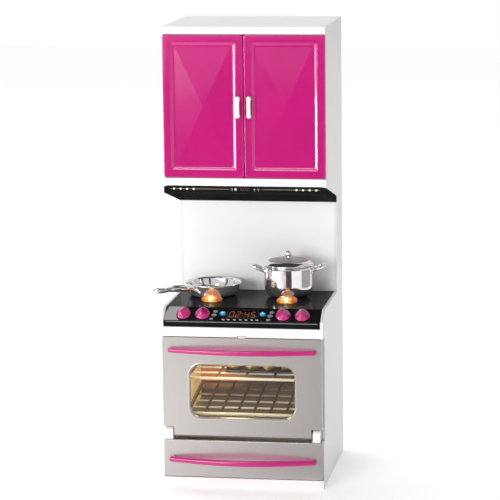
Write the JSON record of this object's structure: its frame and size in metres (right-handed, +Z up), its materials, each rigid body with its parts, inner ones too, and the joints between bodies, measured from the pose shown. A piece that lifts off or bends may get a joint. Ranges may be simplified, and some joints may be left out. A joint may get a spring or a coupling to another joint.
{
  "type": "toy kitchen",
  "caption": "Doll-size toy kitchen tower with wall cupboard, extractor hood, lit cooktop, opening oven and drawer, and a pan and lidded pot.",
  "frame": {"origin": "centre of the base plate's underside, which is the centre of the cabinet's footprint", "axes": "+X to the right seen from the front, the front faces -Y, +Z up"},
  "size_m": [0.1214, 0.1247, 0.32],
  "materials": {
    "white_plastic": "smooth white moulding, light gloss",
    "magenta_plastic": "high-gloss moulded magenta",
    "black_gloss": "mirror-gloss black",
    "dark_plastic": "satin charcoal",
    "silver_plastic": "fine metallic silver paint on plastic",
    "grey_plastic": "satin grey",
    "oven_grey": "metallised warm grey",
    "clear_window": "clear moulded pane",
    "plated_wire": "bright plated",
    "chrome_plate": "mirror chrome plating",
    "amber_light": "lit translucent amber",
    "oven_light": "lit translucent amber",
    "display": "dark window with amber digits",
    "blue_light": "lit translucent blue",
    "board": "green solder mask",
    "speaker": "black",
    "food": "moulded bread rolls, baked tone",
    "box_plastic": "plain moulded",
    "contact": "bright spring brass",
    "cell": "plain printed sleeve",
    "lead": "red insulation",
    "steel": "plated"
  },
  "bodies": {
    "cabinet": {"left_side_panel": "white_plastic", "right_side_panel": "white_plastic", "top_panel": "white_plastic", "cupboard_floor": "white_plastic", "cupboard_shelf": "white_plastic", "inner_back_panel": "white_plastic", "base_plate": "white_plastic", "rear_cover": "white_plastic", "rear_screw_bottom_left": "steel", "rear_screw_bottom_right": "steel", "rear_screw_top_left": "steel", "rear_screw_top_right": "steel", "hood": "black_gloss", "hood_filter": "dark_plastic", "cooktop": "black_gloss", "clock_display": "display", "burner_light_left": "amber_light", "burner_light_right": "amber_light", "control_rail": "white_plastic", "circuit_board": "board", "speaker": "speaker", "battery_box": "box_plastic", "battery_contact_left": "contact", "battery_contact_right": "contact", "battery_cell_1": "cell", "battery_cell_2": "cell", "battery_door": "white_plastic", "battery_door_screw": "steel", "battery_lead": "lead", "oven_liner": "oven_grey", "oven_lamp": "oven_light", "oven_rack_upper": "plated_wire", "oven_rack_lower": "plated_wire", "food_tray": "food", "hinge_rail": "white_plastic", "oven_hinge_pin_left": "steel", "oven_hinge_pin_right": "steel"},
    "cupboard_door_left": {"cupboard_door_left": "magenta_plastic", "cupboard_handle_left": "white_plastic"},
    "cupboard_door_right": {"cupboard_door_right": "magenta_plastic", "cupboard_handle_right": "white_plastic"},
    "oven_door": {"oven_door_shell": "silver_plastic", "oven_window": "clear_window", "oven_door_back": "grey_plastic", "oven_door_handle": "magenta_plastic", "oven_door_latch": "white_plastic"},
    "drawer": {"drawer_front": "silver_plastic", "drawer_tray": "white_plastic", "drawer_handle": "magenta_plastic"},
    "knob_1": {"knob_1": "magenta_plastic"},
    "knob_2": {"knob_2": "magenta_plastic"},
    "knob_3": {"knob_3": "magenta_plastic"},
    "knob_4": {"knob_4": "magenta_plastic"},
    "light_button_left": {"light_button_left": "blue_light"},
    "light_button_right": {"light_button_right": "blue_light"},
    "power_switch": {"power_switch": "dark_plastic"},
    "frying_pan": {"frying_pan": "chrome_plate"},
    "cooking_pot": {"cooking_pot": "chrome_plate"},
    "pot_lid": {"pot_lid": "chrome_plate", "pot_lid_knob": "chrome_plate"}
  },
  "joints": [
    {"name": "cupboard_door_left_hinge", "type": "hinge", "parent": "cabinet", "child": "cupboard_door_left", "pos_m": [-0.0552, -0.0335, 0.265], "axis": [0, 0, -1], "range_deg": [0, 100]},
    {"name": "cupboard_door_right_hinge", "type": "hinge", "parent": "cabinet", "child": "cupboard_door_right", "pos_m": [0.0552, -0.0335, 0.265], "axis": [0, 0, 1], "range_deg": [0, 100]},
    {"name": "oven_door_hinge", "type": "hinge", "parent": "cabinet", "child": "oven_door", "pos_m": [0, -0.052, 0.038], "axis": [1, 0, 0], "range_deg": [0, 90]},
    {"name": "drawer_slide", "type": "slide", "parent": "cabinet", "child": "drawer", "axis": [0, -1, 0], "range_m": [0, 0.045]},
    {"name": "knob_1_turn", "type": "hinge", "parent": "cabinet", "child": "knob_1", "pos_m": [-0.0414, -0.05063, 0.12145], "axis": [0, 0.4939, -0.8695], "range_deg": [0, 270]},
    {"name": "knob_2_turn", "type": "hinge", "parent": "cabinet", "child": "knob_2", "pos_m": [-0.028, -0.05063, 0.12145], "axis": [0, 0.4939, -0.8695], "range_deg": [0, 270]},
    {"name": "knob_3_turn", "type": "hinge", "parent": "cabinet", "child": "knob_3", "pos_m": [0.0286, -0.05063, 0.12145], "axis": [0, 0.4939, -0.8695], "range_deg": [0, 270]},
    {"name": "knob_4_turn", "type": "hinge", "parent": "cabinet", "child": "knob_4", "pos_m": [0.042, -0.05063, 0.12145], "axis": [0, 0.4939, -0.8695], "range_deg": [0, 270]},
    {"name": "light_button_left_press", "type": "slide", "parent": "cabinet", "child": "light_button_left", "axis": [0, 0.4939, -0.8695], "range_m": [0, 0.0008], "stiffness_N_per_m": 120},
    {"name": "light_button_right_press", "type": "slide", "parent": "cabinet", "child": "light_button_right", "axis": [0, 0.4939, -0.8695], "range_m": [0, 0.0008], "stiffness_N_per_m": 120},
    {"name": "power_switch_slide", "type": "slide", "parent": "cabinet", "child": "power_switch", "axis": [1, 0, 0], "range_m": [0, 0.004]},
    {"name": "frying_pan_lift", "type": "slide", "parent": "cabinet", "child": "frying_pan", "axis": [0, -0.7071, 0.7071], "range_m": [0, 0.105]},
    {"name": "cooking_pot_lift", "type": "slide", "parent": "cabinet", "child": "cooking_pot", "axis": [0, -0.7071, 0.7071], "range_m": [0, 0.105]},
    {"name": "pot_lid_lift", "type": "slide", "parent": "cooking_pot", "child": "pot_lid", "axis": [0, 0, 1], "range_m": [0, 0.03]}
  ]
}
